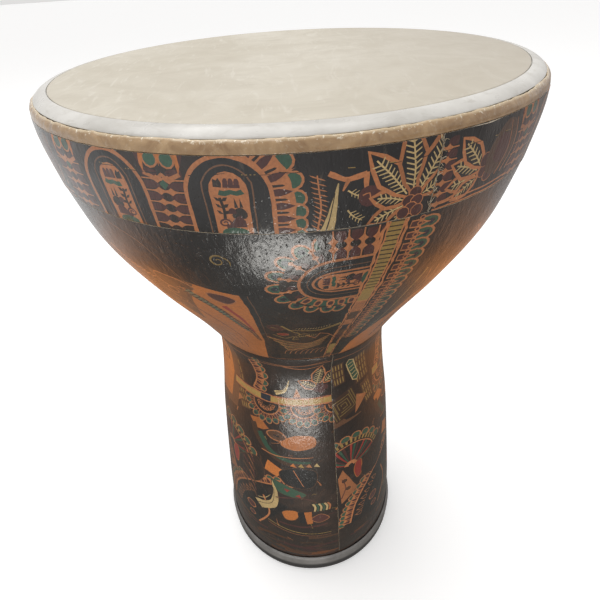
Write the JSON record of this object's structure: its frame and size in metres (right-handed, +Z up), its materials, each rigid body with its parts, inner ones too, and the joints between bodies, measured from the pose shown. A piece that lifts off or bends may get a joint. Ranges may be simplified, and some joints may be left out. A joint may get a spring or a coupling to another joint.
{
  "type": "goblet drum",
  "caption": "Goblet hand drum with a bonded film head, a flared bowl on a hollow tapered stem in glossy printed wraps, and a rubber foot ring.",
  "frame": {"origin": "centre of the foot ring's underside, on the drum's axis, where it stands on the floor", "axes": "+Z up along the drum's axis to the playing face; -Y is the side that the upright seam of the stem wrap is nearest to, 17 degrees towards +X"},
  "size_m": [0.2486, 0.2486, 0.4064],
  "materials": {
    "ivory_film": "satin ivory film with faint fibrous marbling",
    "white_collar": "semi-gloss silvery white, lightly marked",
    "amber_adhesive": "glossy, lumpy golden-brown adhesive",
    "pale_hoop": "plain sanded hoop",
    "moulded_fibreboard": "rough moulded wood-fibre composite",
    "sleeve_fibreboard": "wound fibreboard tube",
    "rim_print": "printed ornament under brushed gloss varnish",
    "bowl_print": "printed ornament under brushed gloss varnish",
    "stem_print": "printed ornament under brushed gloss varnish",
    "black_rubber": "dark grey moulded rubber with a dull sheen"
  },
  "bodies": {
    "root": {"drumhead_film": "ivory_film", "head_collar": "white_collar", "head_glue_band": "amber_adhesive", "bearing_ring": "pale_hoop", "bowl_shell": "moulded_fibreboard", "neck_sleeve": "sleeve_fibreboard", "stem_shell": "moulded_fibreboard", "rim_wrap": "rim_print", "bowl_wrap": "bowl_print", "stem_wrap": "stem_print", "foot_ring": "black_rubber"}
  },
  "joints": []
}
